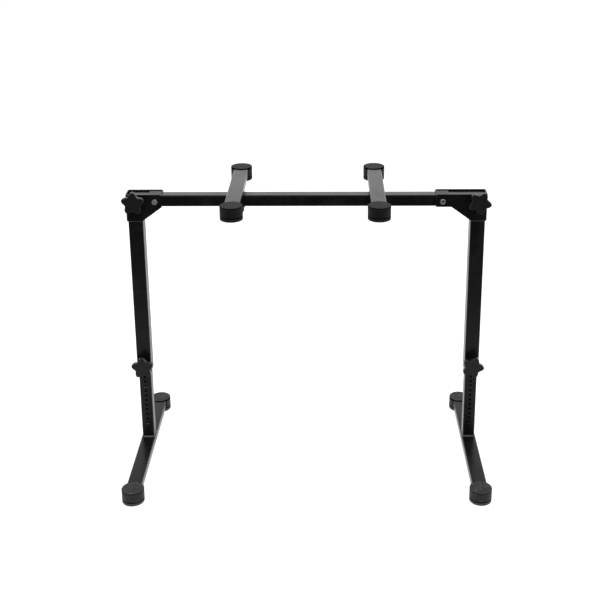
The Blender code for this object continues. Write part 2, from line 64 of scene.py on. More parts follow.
bodyOf = {node: body for body, members in frame["record"]["behaviour"]["bodies"].items() for node in members}
slotOf = {part["node"]: part["material_slot"] for part in frame["record"]["subparts"]}
jointPlace = {joint["name"]: Vector(joint["pos_m"]) for joint in frame["record"]["behaviour"]["joints"]
              if joint.get("pos_m")}
axisNumber = {"X": 0, "Y": 1, "Z": 2}


class Wire:  # one output socket, so that node maths reads as arithmetic
    def __init__(self, graph, socket):
        self.graph = graph
        self.socket = socket

    def also(self, output):  # another output of the same node
        return Wire(self.graph, self.socket.node.outputs[output])

    def __add__(self, other):
        return self.graph.maths("ADD", self, other)

    def __radd__(self, other):
        return self.graph.maths("ADD", other, self)

    def __sub__(self, other):
        return self.graph.maths("SUBTRACT", self, other)

    def __rsub__(self, other):
        return self.graph.maths("SUBTRACT", other, self)

    def __mul__(self, other):
        return self.graph.maths("MULTIPLY", self, other)

    def __rmul__(self, other):
        return self.graph.maths("MULTIPLY", other, self)

    def __truediv__(self, other):
        return self.graph.maths("DIVIDE", self, other)

    def __rtruediv__(self, other):
        return self.graph.maths("DIVIDE", other, self)

    def __lt__(self, other):
        return self.graph.maths("LESS_THAN", self, other)

    def __gt__(self, other):
        return self.graph.maths("GREATER_THAN", self, other)

    def __abs__(self):
        return self.graph.maths("ABSOLUTE", self)


class Graph:  # a shader tree or a geometry tree
    def __init__(self, tree):
        self.tree = tree

    def node(self, kind, settings=None, sockets=None, output=0):
        made = self.tree.nodes.new(kind)
        for key, value in (settings or {}).items():
            setattr(made, key, value)
        for key, value in (sockets or {}).items():
            if isinstance(value, Wire):
                self.tree.links.new(value.socket, made.inputs[key])
            else:
                made.inputs[key].default_value = value
        return Wire(self, made.outputs[output]) if made.outputs else None

    def maths(self, operation, a, b=0.0, c=0.0):
        return self.node("ShaderNodeMath", {"operation": operation}, {0: a, 1: b, 2: c})

    def within(self, value, low, high):  # 0 at low, 1 at high, smooth between
        return self.node("ShaderNodeMapRange", {"interpolation_type": "SMOOTHSTEP"},
                         {"Value": value, "From Min": low, "From Max": high})

    def distance(self, a, b):  # of two lengths at a right angle
        return self.maths("SQRT", a * a + b * b)

    def parts(self, vector):
        split = self.node("ShaderNodeSeparateXYZ", {}, {0: vector})
        return split, split.also(1), split.also(2)

    def blend(self, factor, a, b):  # of two colours
        return self.node("ShaderNodeMix", {"data_type": "RGBA"}, {0: factor, 6: a, 7: b}, 2)

    def noise(self, place, size, detail=2.0, roughness=0.5, distortion=0.0):
        return self.node("ShaderNodeTexNoise", {"noise_dimensions": "3D"},
                         {"Vector": place, "Scale": 1 / size, "Detail": detail, "Roughness": roughness,
                          "Distortion": distortion})

    def mapped(self, place, scale=(1, 1, 1), shift=(0, 0, 0), turn=(0, 0, 0)):
        return self.node("ShaderNodeMapping", {"vector_type": "POINT"},
                         {"Vector": place, "Location": shift, "Rotation": turn, "Scale": scale})


def gray(value, blue=0.0):
    return (value, value, value * (1 + blue), 1.0)


# Finishes. Colours are linear and sizes are in metres.
powderFinish = {
    "color": gray(0.0040, 0.03),
    "dusty": gray(0.0080, 0.02),
    "roughness": 0.25,
    "roughnessSpread": 0.07,
    "specular": 0.18,
    "weldSpecular": 0.35,  # the coat pools and shines on a bead
    "grain": 0.0009,
    "grainDepth": 0.000008,
    "peel": 0.0042,
    "peelDepth": 0.000018,
    "smudge": 0.055,
}
slideFinish = {
    "scratchWidth": 0.0011,
    "scratchLength": 0.09,
    "scratched": gray(0.030),
    "steel": gray(0.42),
    "chipReach": 0.0013,
    "chipEvery": 8,  # every so many holes has a chipped rim
    "chipStrength": {"left": 0.9, "right": 0.15},
}
rubberFinish = {
    "color": gray(0.010, 0.01),
    # the colour of real scuffs and of the painted highlight ring
    "scuffAndHighlight": gray(0.085),
    # painted shade: the colour of the grooves, the rounded top edge and the gap over the bar
    "hollow": gray(0.0008),
    "lower": gray(0.060),  # a painted highlight on the band below the groove
    "roughness": 0.58,
    "specular": 0.26,
    "grain": 0.0007,
    "grainDepth": 0.00003,
    "scuff": 0.016,
    "speck": 0.0028,
    "streak": 0.022,
    "shadedEdgeWidth": 0.0022,  # painted shade on the rounded edge of the top
    "edgeShade": 0.25,  # the painted shade is darkest where the bar enters
    "rimHighlightWidth": 0.0030,  # a painted highlight ring inside it
    "grooveShade": 0.7,
    "wear": 1.0,
}
# The caps: the same rubber, painted darker as shade falling on them from above, and less scuffed
shadedCapFinish = {**rubberFinish, "color": gray(0.006), "scuffAndHighlight": gray(0.030), "lower": gray(0.012),
             "specular": 0.12, "wear": 0.4}
plasticFinish = {
    "color": gray(0.0065, 0.02),
    "worn": gray(0.017),
    # painted highlight along the rounded rim of the face
    "edge": gray(0.045),
    "roughness": 0.38,
    "specular": 0.22,
    "grain": 0.00055,
    "grainDepth": 0.00002,
    "wear": 0.012,
    "sideShade": 0.5,
}
nylonFinish = {
    "color": gray(0.011),
    "dusty": gray(0.017),
    "roughness": 0.50,
    "grain": 0.0016,
    "grainDepth": 0.00001,
}
zincFinish = {
    "color": (0.42, 0.43, 0.44, 1.0),
    "stained": (0.33, 0.31, 0.26, 1.0),
    "roughness": 0.35,
    "brush": 0.0003,
    "brushDepth": 0.000008,
    "stain": 0.006,
}


def newSurface(name):
    material = bpy.data.materials.new(name)
    material.use_nodes = True
    material.node_tree.nodes.clear()
    graph = Graph(material.node_tree)
    return material, graph, graph.node("ShaderNodeTexCoord", {}, {}, "Object")


def closeSurface(graph, color, roughness, height, specular=0.5, metallic=0.0, hollow=None):
    normal = graph.node("ShaderNodeBump", {}, {"Strength": 1.0, "Distance": 1.0, "Height": height}, "Normal")
    shader = graph.node("ShaderNodeBsdfPrincipled", {}, {
        "Base Color": color, "Roughness": roughness, "Metallic": metallic, "Specular IOR Level": specular,
        "Normal": normal}, "BSDF")
    if hollow:  # painted shade: grooves, gaps and edges become a dark dull surface that mirrors no light
        paintedShadeSurface = graph.node("ShaderNodeBsdfDiffuse", {}, {"Color": gray(0.001)}, "BSDF")
        shader = graph.node("ShaderNodeMixShader", {}, {0: hollow, 1: shader, 2: paintedShadeSurface})
    graph.node("ShaderNodeOutputMaterial", {}, {"Surface": shader})


def powderLayer(graph, place):
    look = powderFinish
    smudge = graph.within(graph.noise(place, look["smudge"], 5.0, 0.6, 0.4), 0.42, 0.72)
    color = graph.blend(smudge, look["color"], look["dusty"])
    roughness = look["roughness"] + smudge * look["roughnessSpread"]
    height = graph.noise(place, look["grain"], 3.0) * look["grainDepth"]
    height = height + graph.noise(place, look["peel"]) * look["peelDepth"]
    return color, roughness, height


def makePowderCoat(name, specular):
    material, graph, place = newSurface(name)
    color, roughness, height = powderLayer(graph, place)
    closeSurface(graph, color, roughness, height, specular)
    return material


def makeSlidingCoat(side, holes):  # the coat of an inner tube: slid over, and chipped at the rims of some holes
    look = slideFinish
    material, graph, place = newSurface("slidPowderCoat_" + side)
    color, roughness, height = powderLayer(graph, place)
    fine = (1 / look["scratchWidth"], 1 / look["scratchWidth"], 1 / look["scratchLength"])
    streaks = graph.noise(graph.mapped(place, fine), 1.0, 3.0, 0.6)
    scratch = graph.within(streaks, 0.62, 0.74)
    color = graph.blend(scratch * 0.7, color, look["scratched"])
    roughness = roughness + scratch * 0.08

    x, y, z = graph.parts(place)
    across = abs(x) - holes["x"]
    climb = z - holes["first"]
    along = graph.maths("WRAP", climb, holes["pitch"] / 2, -holes["pitch"] / 2)
    number = graph.maths("ROUND", climb / holes["pitch"])
    chosen = abs(graph.maths("WRAP", number, look["chipEvery"] / 2, -look["chipEvery"] / 2)) < 0.5
    ragged = graph.distance(across, along) + graph.noise(place, 0.0016, 3.0) * look["chipReach"]
    rim = 1 - graph.within(ragged, holes["radius"] + look["chipReach"] * 0.7,
                           holes["radius"] + look["chipReach"] * 1.1)
    chip = rim * graph.within(0 - along, 0.0008, 0.0022) * chosen * look["chipStrength"][side]
    chip = chip * (y < holes["y"])  # only the front wall is drilled
    color = graph.blend(chip, color, look["steel"])
    closeSurface(graph, color, roughness, height, powderFinish["specular"], chip * 0.9)
    return material


def makeRubber(name, centre, radius, top, barTop, facing, look):  # centre of a foot's underside
    material, graph, place = newSurface(name)
    x, y, z = graph.parts(graph.mapped(place, shift=-centre))
    reach = graph.distance(x, y)
    # Painted shade on the rounded edge of the top
    edge = graph.within(reach, radius - look["shadedEdgeWidth"], radius - look["shadedEdgeWidth"] * 0.4)
    # Painted highlight: a lighter ring just inside the shaded edge of the top
    rim = graph.within(reach, radius - look["shadedEdgeWidth"] - look["rimHighlightWidth"], radius - look["shadedEdgeWidth"])
    upper = graph.within(z, top - 0.0012, top - 0.0002)
    rim = rim * (1 - edge) * upper
    edge = edge * graph.within(z, top - footShape["lip"], top - footShape["lip"] * 0.8)
    cloudy = graph.within(graph.noise(place, look["scuff"], 6.0, 0.65, 0.6), 0.45, 0.75)
    specks = graph.within(graph.noise(place, look["speck"], 4.0, 0.7), 0.62, 0.72)
    swirls = abs(graph.noise(place, look["streak"], 2.0, 0.5, 0.9) - 0.5)
    streaks = 1 - graph.within(swirls, 0.008, 0.05)
    # Cloud, specks and streaks are scuffs; the rim ring adds a painted highlight
    scuffsAndHighlight = cloudy * 0.22 + specks * 0.14 + rim * 0.30 + streaks * (0.18 + 0.14 * upper)
    scuffsAndHighlight = graph.maths("MINIMUM", scuffsAndHighlight, 1.0) * look["wear"]
    color = graph.blend(scuffsAndHighlight, look["color"], look["scuffAndHighlight"])
    grooveHalf, lipHalf = footShape["grooveWidth"] / 2, footShape["lipWidth"] / 2
    below = footShape["grooveHeight"] - z
    # Painted highlight: the band just below the groove is lighter
    lower = graph.within(below, grooveHalf * 0.8, grooveHalf * 1.3) * graph.within(z, 0.001, 0.004)
    color = graph.blend(lower, color, look["lower"])
    # Painted shade: the groove, the fine groove under the rim (lip), the rounded top edge and the gap over the bar
    # (mouth) are painted dark, darkest on the bar's side
    groove = 1 - graph.within(abs(below), grooveHalf * 0.9, grooveHalf * 1.3)
    lip = 1 - graph.within(abs(z - (top - footShape["lip"])), lipHalf * 0.6, lipHalf * 1.1)
    mouth = graph.within(y * -facing, radius * 0.3, radius * 0.5) * graph.within(z, barTop - 0.001, barTop)
    mouth = mouth * (1 - graph.within(z, top - 0.0009, top - 0.0004))
    shade = look["edgeShade"] + graph.within(y * -facing, 0.0, radius * 0.5) * (1 - look["edgeShade"])
    hollow = graph.maths("MAXIMUM", groove * look["grooveShade"], mouth)
    hollow = graph.maths("MAXIMUM", hollow, graph.maths("MAXIMUM", edge, lip) * shade)
    color = graph.blend(hollow, color, look["hollow"])
    roughness = look["roughness"] + scuffsAndHighlight * 0.12
    closeSurface(graph, color, roughness, graph.noise(place, look["grain"], 3.0) * look["grainDepth"],
                 look["specular"], hollow=hollow)
    return material


def makeKnobPlastic(name, centre, sizes, facing):  # centre of the hub's end; the face looks along facing * Y
    look = plasticFinish
    material, graph, place = newSurface(name)
    x, y, z = graph.parts(graph.mapped(place, shift=-centre))
    lobes = graph.within(graph.distance(x, z), sizes["tip"] * 0.72, sizes["tip"])
    cloudy = graph.within(graph.noise(place, look["wear"], 5.0, 0.6, 0.5), 0.40, 0.75)
    worn = graph.maths("MINIMUM", cloudy * 0.35 + lobes * cloudy * 0.6, 1.0)
    color = graph.blend(worn, look["color"], look["worn"])
    depth = (sizes["hub"] + sizes["thickness"]) - y * facing  # behind the face
    sides = graph.within(depth, sizes["front"] * 0.9, sizes["front"] * 1.6)
    color = graph.blend(sides * look["sideShade"], color, gray(0.0))
    # Painted highlight: a lighter line along the rounded rim of the face
    edge = graph.within(depth, 0.0001, 0.0005) * (1 - sides)
    color = graph.blend(edge * 0.7, color, look["edge"])
    roughness = look["roughness"] - worn * 0.08
    closeSurface(graph, color, roughness, graph.noise(place, look["grain"], 2.0) * look["grainDepth"],
                 look["specular"])
    return material


def makeNylon():
    look = nylonFinish
    material, graph, place = newSurface("guideNylon")
    dust = graph.within(graph.noise(place, 0.011, 5.0, 0.6), 0.50, 0.78)
    color = graph.blend(dust * 0.6, look["color"], look["dusty"])
    roughness = look["roughness"] + dust * 0.1
    closeSurface(graph, color, roughness, graph.noise(place, look["grain"]) * look["grainDepth"])
    return material


def makeZinc():
    look = zincFinish
    material, graph, place = newSurface("platedZinc")
    stain = graph.within(graph.noise(place, look["stain"], 5.0, 0.65, 0.5), 0.48, 0.74)
    fine = 1 / look["brush"]
    lines = graph.noise(graph.mapped(place, (fine, fine / 30, fine)), 1.0)
    color = graph.blend(stain * 0.5, look["color"], look["stained"])
    roughness = look["roughness"] + stain * 0.16 + lines * 0.06
    closeSurface(graph, color, roughness, lines * look["brushDepth"], 0.5, 1.0)
    return material


# Outlines, as lists of (a, b)
def filleted(corners, steps=6):  # an outline whose corners, (a, b, radius), are rounded
    outline = []
    for i, (a, b, radius) in enumerate(corners):
        here = Vector((a, b))
        back = (Vector(corners[i - 1][:2]) - here).normalized()
        ahead = (Vector(corners[(i + 1) % len(corners)][:2]) - here).normalized()
        half = back.angle(ahead) / 2 if radius else 0
        if not radius:
            outline.append((a, b))
            continue
        centre = here + (back + ahead).normalized() * radius / math.sin(half)
        first = here + back * radius / math.tan(half) - centre
        last = here + ahead * radius / math.tan(half) - centre
        start = math.atan2(first.y, first.x)
        sweep = (math.atan2(last.y, last.x) - start + math.pi) % (2 * math.pi) - math.pi
        for step in range(steps + 1):
            angle = start + sweep * step / steps
            outline.append((centre.x + radius * math.cos(angle), centre.y + radius * math.sin(angle)))
    return outline


def rectangle(width, height, radius=0.0, a=0.0, b=0.0, steps=6):  # its middle is at (a, b)
    w, h = width / 2, height / 2
    return filleted([(a - w, b - h, radius), (a + w, b - h, radius), (a + w, b + h, radius),
                     (a - w, b + h, radius)], steps)


def circle(radius, count, a=0.0, b=0.0):
    turns = [2 * math.pi * i / count for i in range(count)]
    return [(a + radius * math.cos(turn), b + radius * math.sin(turn)) for turn in turns]


def hexagon(flats):
    return circle(flats / math.sqrt(3), 6)


# Meshes
def closed(cage, name):  # a bmesh as a mesh, its seams merged and its faces outward
    bmesh.ops.remove_doubles(cage, verts=cage.verts, dist=0.000002)
    bmesh.ops.recalc_face_normals(cage, faces=cage.faces)
    mesh = bpy.data.meshes.new(name)
    cage.to_mesh(mesh)
    cage.free()
    return mesh


def prism(outlines, low, high, axis):  # an outline lies in the two other axes, in the order X, Y, Z
    curve = bpy.data.curves.new("outline", "CURVE")
    curve.dimensions = "2D"
    curve.fill_mode = "BOTH"
    curve.extrude = (high - low) / 2
    for points in outlines:
        spline = curve.splines.new("POLY")
        spline.points.add(len(points) - 1)
        for point, (a, b) in zip(spline.points, points):
            point.co = (a, b, 0, 1)
        spline.use_cyclic_u = True
    guide = bpy.data.objects.new("outline", curve)
    scene.collection.objects.link(guide)
    flat = bpy.data.meshes.new_from_object(guide.evaluated_get(bpy.context.evaluated_depsgraph_get()))
    bpy.data.objects.remove(guide, do_unlink=True)
    cage = bmesh.new()
    cage.from_mesh(flat)
    for vert in cage.verts:
        a, b, depth = vert.co
        depth += (low + high) / 2
        vert.co = {"X": (depth, a, b), "Y": (a, depth, b), "Z": (a, b, depth)}[axis]
    return closed(cage, "prism")


def turned(profile, sides, axis="Z"):  # a profile of (radius, height) turned round an axis through the origin
    cage = bmesh.new()
    verts = [cage.verts.new((radius, 0, height)) for radius, height in profile]
    edges = [cage.edges.new(pair) for pair in zip(verts, verts[1:])]
    bmesh.ops.spin(cage, geom=verts + edges, cent=(0, 0, 0), axis=(0, 0, 1), angle=2 * math.pi, steps=sides)
    if axis == "Y":
        for vert in cage.verts:
            vert.co = (vert.co.x, vert.co.z, vert.co.y)
    return closed(cage, "turned")


def ring(radius, hole, low, high, edge, sides=48, axis="Y"):  # a turned ring with rounded edges
    profile = filleted([(hole, low, edge), (radius, low, edge), (radius, high, edge), (hole, high, edge)], 3)
    return turned(profile + profile[:1], sides, axis)


def put(mesh, at):
    mesh.transform(Matrix.Translation(at))
    return mesh


def joined(*meshes):  # their bodies stay apart
    cage = bmesh.new()
    for mesh in meshes:
        cage.from_mesh(mesh)
    mesh = bpy.data.meshes.new("group")
    cage.to_mesh(mesh)
    cage.free()
    return mesh


def shaped(mesh, cuts=(), keep=(), add=(), edge=0.0, segments=2, limit=32):  # booleans, then rounded edges
    holder = bpy.data.objects.new("holder", mesh)
    scene.collection.objects.link(holder)
    helpers = []
    for operation, shapes in (("UNION", add), ("INTERSECT", keep), ("DIFFERENCE", cuts)):
        for shape in shapes:
            helper = bpy.data.objects.new("helper", shape)
            scene.collection.objects.link(helper)
            helpers.append(helper)
            boolean = holder.modifiers.new("boolean", "BOOLEAN")
            boolean.operation = operation
            boolean.solver = "EXACT"
            boolean.object = helper
    if edge:
        bevel = holder.modifiers.new("edges", "BEVEL")
        bevel.width = edge
        bevel.segments = segments
        bevel.limit_method = "ANGLE"
        bevel.angle_limit = math.radians(limit)
        bevel.use_clamp_overlap = True
    result = bpy.data.meshes.new_from_object(holder.evaluated_get(bpy.context.evaluated_depsgraph_get()))
    for thing in [holder] + helpers:
        bpy.data.objects.remove(thing, do_unlink=True)
    return result


def softened(node, edge, segments=2):  # a copy of a node's mesh, its flat faces whole and its edges rounded
    cage = bmesh.new()
    cage.from_mesh(frame["nodes"][node].data)
    bmesh.ops.remove_doubles(cage, verts=cage.verts, dist=0.000002)
    bmesh.ops.dissolve_limit(cage, angle_limit=math.radians(1), verts=cage.verts, edges=cage.edges)
    mesh = bpy.data.meshes.new("softened")
    cage.to_mesh(mesh)
    cage.free()
    return shaped(mesh, edge=edge, segments=segments)


def starKnob(sizes):  # lobes, hub and bore on the Y axis, with the hub's end at the origin, as rings of points
    count = sizes["lobes"] * sizes["perLobe"]
    middle = (sizes["tip"] + sizes["valley"]) / 2
    swing = (sizes["tip"] - sizes["valley"]) / 2
    face = -sizes["hub"] - sizes["thickness"]

    def starRing(inset, y, share=1.0):
        points = []
        for i in range(count):
            turn = 2 * math.pi * i / count
            radius = middle + swing * math.cos(sizes["lobes"] * turn)
            slope = -swing * sizes["lobes"] * math.sin(sizes["lobes"] * turn)
            out = Vector((math.sin(turn), math.cos(turn)))
            along = Vector((math.cos(turn), -math.sin(turn))) * radius + out * slope
            normal = Vector((-along.y, along.x)).normalized()
            at = (out * radius - normal * inset) * share
            points.append((at.x, y, at.y))
        return points

    def roundRing(radius, y):
        return [(radius * math.sin(2 * math.pi * i / count), y, radius * math.cos(2 * math.pi * i / count))
                for i in range(count)]

    def quarter(steps):  # from 0 to 90 degrees
        return [math.radians(90) * step / steps for step in range(steps + 1)]

    rings = [starRing(sizes["front"], face - sizes["crown"], share) for share in (0.25, 0.5)]
    rings.append(starRing(sizes["front"], face - sizes["crown"] * 0.6, 0.78))
    for turn in quarter(sizes["steps"]):
        rings.append(starRing(sizes["front"] * (1 - math.sin(turn)), face + sizes["front"] * (1 - math.cos(turn))))
    for turn in quarter(sizes["steps"]):
        inset = sizes["draft"] + sizes["back"] * (1 - math.cos(turn))
        rings.append(starRing(inset, -sizes["hub"] - sizes["back"] * (1 - math.sin(turn))))
    flare = sizes["hubRadius"] + sizes["fillet"]
    for turn in quarter(sizes["steps"]):
        rings.append(roundRing(flare - sizes["fillet"] * math.sin(turn),
                               -sizes["hub"] + sizes["fillet"] * (1 - math.cos(turn))))
    for turn in quarter(3):
        rings.append(roundRing(sizes["hubRadius"] - sizes["edge"] * (1 - math.cos(turn)),
                               -sizes["edge"] * (1 - math.sin(turn))))
    rings.append(roundRing(sizes["bore"] + sizes["edge"], 0))
    rings.append(roundRing(sizes["bore"], sizes["edge"] * -1))
    rings.append(roundRing(sizes["bore"], -sizes["depth"]))

    cage = bmesh.new()
    rows = [[cage.verts.new(point) for point in row] for row in rings]
    for row, nextRow in zip(rows, rows[1:]):
        for i in range(count):
            cage.faces.new((row[i], row[i - 1], nextRow[i - 1], nextRow[i]))
    for row, y in ((rows[0], face - sizes["crown"]), (rows[-1], -sizes["depth"])):
        pole = cage.verts.new((0, y, 0))
        for i in range(count):
            cage.faces.new((row[i], row[i - 1], pole))
    return closed(cage, "starKnob")


# Geometry node trees
def newTree(name, inputs):  # the inputs are (name, socket type)
    tree = bpy.data.node_groups.new(name, "GeometryNodeTree")
    tree.interface.new_socket("Geometry", in_out="INPUT", socket_type="NodeSocketGeometry")
    for label, kind in inputs:
        tree.interface.new_socket(label, in_out="INPUT", socket_type="NodeSocket" + kind)
    tree.interface.new_socket("Geometry", in_out="OUTPUT", socket_type="NodeSocketGeometry")
    graph = Graph(tree)
    entry = graph.node("NodeGroupInput")
    return tree, graph, {label: entry.also(label) for label in ["Geometry"] + [label for label, kind in inputs]}


def closeTree(graph, geometry, finish):
    real = graph.node("GeometryNodeRealizeInstances", {}, {"Geometry": geometry})
    painted = graph.node("GeometryNodeSetMaterial", {}, {"Geometry": real, "Material": finish})
    graph.node("NodeGroupOutput", {}, {0: painted})


def grown(mesh, tree, values):  # what a tree makes of a mesh, as a plain mesh
    holder = bpy.data.objects.new("holder", mesh)
    scene.collection.objects.link(holder)
    modifier = holder.modifiers.new("tree", "NODES")
    modifier.node_group = tree
    for item in tree.interface.items_tree:
        if item.in_out == "INPUT" and item.name in values:
            modifier[item.identifier] = values[item.name]
    result = bpy.data.meshes.new_from_object(holder.evaluated_get(bpy.context.evaluated_depsgraph_get()))
    bpy.data.objects.remove(holder, do_unlink=True)
    return result


def makeDrillTree():  # drills a row of round holes towards +Y, or of dimples where the drill is short
    tree, graph, entry = newTree("drilledRow", [
        ("Count", "Int"), ("Start", "Vector"), ("Step", "Vector"), ("Radius", "Float"), ("Depth", "Float"),
        ("Sides", "Int"), ("Finish", "Material")])
    row = graph.node("GeometryNodeMeshLine", {"mode": "OFFSET", "count_mode": "TOTAL"},
                     {"Count": entry["Count"], "Start Location": entry["Start"], "Offset": entry["Step"]})
    drill = graph.node("GeometryNodeMeshCylinder", {"fill_type": "NGON"},
                       {"Vertices": entry["Sides"], "Radius": entry["Radius"], "Depth": entry["Depth"] * 2})
    drills = graph.node("GeometryNodeInstanceOnPoints", {}, {
        "Points": row, "Instance": drill, "Rotation": (math.pi / 2, 0, 0)})
    cutters = graph.node("GeometryNodeRealizeInstances", {}, {"Geometry": drills})
    cut = graph.node("GeometryNodeMeshBoolean", {"operation": "DIFFERENCE", "solver": "EXACT"},
                     {"Mesh 1": entry["Geometry"], "Mesh 2": cutters})
    closeTree(graph, cut, entry["Finish"])
    return tree


def makeWeldTree(name, inCorner):  # a rippled bead along a line of edges: a fillet in a corner, or a round one
    tree, graph, entry = newTree(name, [
        ("Reach", "Float"), ("Rise", "Float"), ("Ripple", "Float"), ("Relief", "Float"), ("Seed", "Float"),
        ("Finish", "Material")])
    path = graph.node("GeometryNodeMeshToCurve", {}, {"Mesh": entry["Geometry"]})
    path = graph.node("GeometryNodeResampleCurve", {"mode": "LENGTH"},
                      {"Curve": path, "Length": entry["Ripple"] / 6})
    path = graph.node("GeometryNodeSetCurveNormal", {"mode": "Z_UP"}, {"Curve": path})
    run = graph.node("GeometryNodeSplineParameter", {}, {}, "Length")
    place = graph.node("GeometryNodeInputPosition")
    wave = graph.maths("SINE", run / entry["Ripple"] * (2 * math.pi))
    uneven = graph.node("ShaderNodeTexNoise", {"noise_dimensions": "4D"},
                        {"Vector": place, "W": entry["Seed"], "Scale": 260.0, "Detail": 2.0})
    size = 1 + wave * entry["Relief"] + (uneven - 0.5) * entry["Relief"] * 4
    if inCorner:  # across the section, X points to the right of the path and Y points down
        points = [(0, 0), (1, 0), (0.58, 0.58), (0, 1)]
        section = graph.node("GeometryNodeCurvePrimitiveQuadrilateral", {"mode": "POINTS"}, {
            f"Point {i + 1}": graph.node("ShaderNodeCombineXYZ", {}, {0: entry["Reach"] * a, 1: entry["Rise"] * b})
            for i, (a, b) in enumerate(points)})
    else:
        section = graph.node("GeometryNodeCurvePrimitiveCircle", {"mode": "RADIUS"},
                             {"Resolution": 12, "Radius": entry["Reach"]})
    bead = graph.node("GeometryNodeCurveToMesh", {}, {
        "Curve": path, "Profile Curve": section, "Scale": size, "Fill Caps": True})
    closeTree(graph, bead, entry["Finish"])
    return tree


def makeThreadTree():  # a round bar along Z with a V thread that runs out at both ends
    tree, graph, entry = newTree("threadedBar", [
        ("Radius", "Float"), ("Length", "Float"), ("Pitch", "Float"), ("Thread Depth", "Float"),
        ("Rows", "Int"), ("Sides", "Int"), ("Finish", "Material")])
    bar = graph.node("GeometryNodeMeshCylinder", {"fill_type": "TRIANGLE_FAN"}, {
        "Vertices": entry["Sides"], "Side Segments": entry["Rows"], "Radius": entry["Radius"],
        "Depth": entry["Length"]})
    x, y, z = graph.parts(graph.node("GeometryNodeInputPosition"))
    phase = graph.maths("FRACT", z / entry["Pitch"] - graph.maths("ARCTAN2", y, x) / (2 * math.pi))
    hollow = abs(phase * 2 - 1)
    runout = 1 - graph.maths("MINIMUM", (entry["Length"] / 2 - abs(z)) / entry["Pitch"], 1.0)
    deep = graph.maths("MAXIMUM", hollow, runout) * entry["Thread Depth"] / entry["Radius"]
    slim = 1 - deep
    at = graph.node("ShaderNodeCombineXYZ", {}, {0: x * slim, 1: y * slim, 2: z})
    thread = graph.node("GeometryNodeSetPosition", {}, {"Geometry": bar, "Position": at})
    closeTree(graph, thread, entry["Finish"])
    return tree


# Pieces
def finishPiece(name, mesh, material, body, slot, *nodes, angle=35):  # a finished mesh becomes a piece
    mesh.name = name
    mesh.materials.clear()
    mesh.materials.append(material)
    for face in mesh.polygons:
        face.material_index = 0
    mesh.shade_smooth()
    mesh.set_sharp_from_angle(angle=math.radians(angle))
    piece = bpy.data.objects.new(name, mesh)
    scene.collection.objects.link(piece)
    weighted = piece.modifiers.new("flatFaces", "WEIGHTED_NORMAL")
    weighted.keep_sharp = True
    smooth = bpy.data.meshes.new_from_object(piece.evaluated_get(bpy.context.evaluated_depsgraph_get()))
    piece.modifiers.remove(weighted)
    piece.data = smooth
    smooth.name = name
    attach(piece, body)
    if nodes:
        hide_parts(*nodes)
    return piece


def standsFor(node, mesh, material, angle=35):  # a finished mesh takes the place of a node
    return finishPiece(node + "_finished", mesh, material, bodyOf[node], slotOf[node], node, angle=angle)


def extent(node):  # the middle of a node's box, and its size
    low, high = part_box(node)
    return (low + high) / 2, high - low


tubeShape = {"wall": 0.0015, "corner": 0.003, "cornerSteps": 8, "edge": 0.00025, "boltHole": 0.0043}
holeRow = {"x": extent("inner_tube_right")[0].x, "y": extent("inner_tube_right")[0].y, "first": 0.077,
           "pitch": 0.014, "count": 24, "radius": 0.0033, "sides": 32}
dotRow = {"every": 4, "most": 3, "radius": 0.0010, "depth": 0.0012, "spacing": 0.0032, "aside": 0.0064}

powderCoat = makePowderCoat("satinPowderCoat", powderFinish["specular"])
weldCoat = makePowderCoat("weldPowderCoat", powderFinish["weldSpecular"])
slidingCoats = {side: makeSlidingCoat(side, holeRow) for side in hands}
nylon = makeNylon()
zinc = makeZinc()
print("materials ready")

drillTree = makeDrillTree()
filletTree = makeWeldTree("filletWeld", True)
roundTree = makeWeldTree("roundWeld", False)
threadTree = makeThreadTree()


def squareTube(node, axis):  # a square tube that fills a node's box
    low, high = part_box(node)
    number = axisNumber[axis]
    at = (low + high) / 2
    at[number] = 0
    width, height = [(high - low)[i] for i in range(3) if i != number]
    wall, corner = tubeShape["wall"], tubeShape["corner"]
    outlines = [rectangle(width, height, corner, steps=tubeShape["cornerSteps"]),
                rectangle(width - 2 * wall, height - 2 * wall, corner - wall, steps=tubeShape["cornerSteps"])]
    return put(prism(outlines, low[number], high[number], axis), at)


def boltHole(x, z, low, high):  # a cutter along Y
    return prism([circle(tubeShape["boltHole"], 40, x, z)], low, high, "Y")


def makeCrossbar():
    low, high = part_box("crossbar")
    holes = [boltHole(jointPlace["fold_" + side].x, jointPlace["fold_" + side].z, low.y - 0.01, high.y + 0.01)
             for side in hands]
    mesh = shaped(squareTube("crossbar", "X"), cuts=holes, edge=tubeShape["edge"])
    standsFor("crossbar", mesh, powderCoat)
    for side in hands:
        standsFor("crossbar_plug_" + side, softened("crossbar_plug_" + side, 0.0006, 3), nylon)
        standsFor("crossbar_liner_" + side, softened("crossbar_liner_" + side, 0.0004), nylon)


def makeLegTubes(side):
    clamp = jointPlace["height_knob_turn_" + side]
    centre, size = extent("leg_tube_" + side)
    hole = boltHole(clamp.x, clamp.z, centre.y - size.y, centre.y)
    mesh = shaped(squareTube("leg_tube_" + side, "Z"), cuts=[hole], edge=tubeShape["edge"])
    standsFor("leg_tube_" + side, mesh, powderCoat)
    standsFor("guide_bush_" + side, softened("guide_bush_" + side, 0.0005, 3), nylon)
    standsFor("glide_cap_" + side, softened("glide_cap_" + side, 0.0005), nylon)


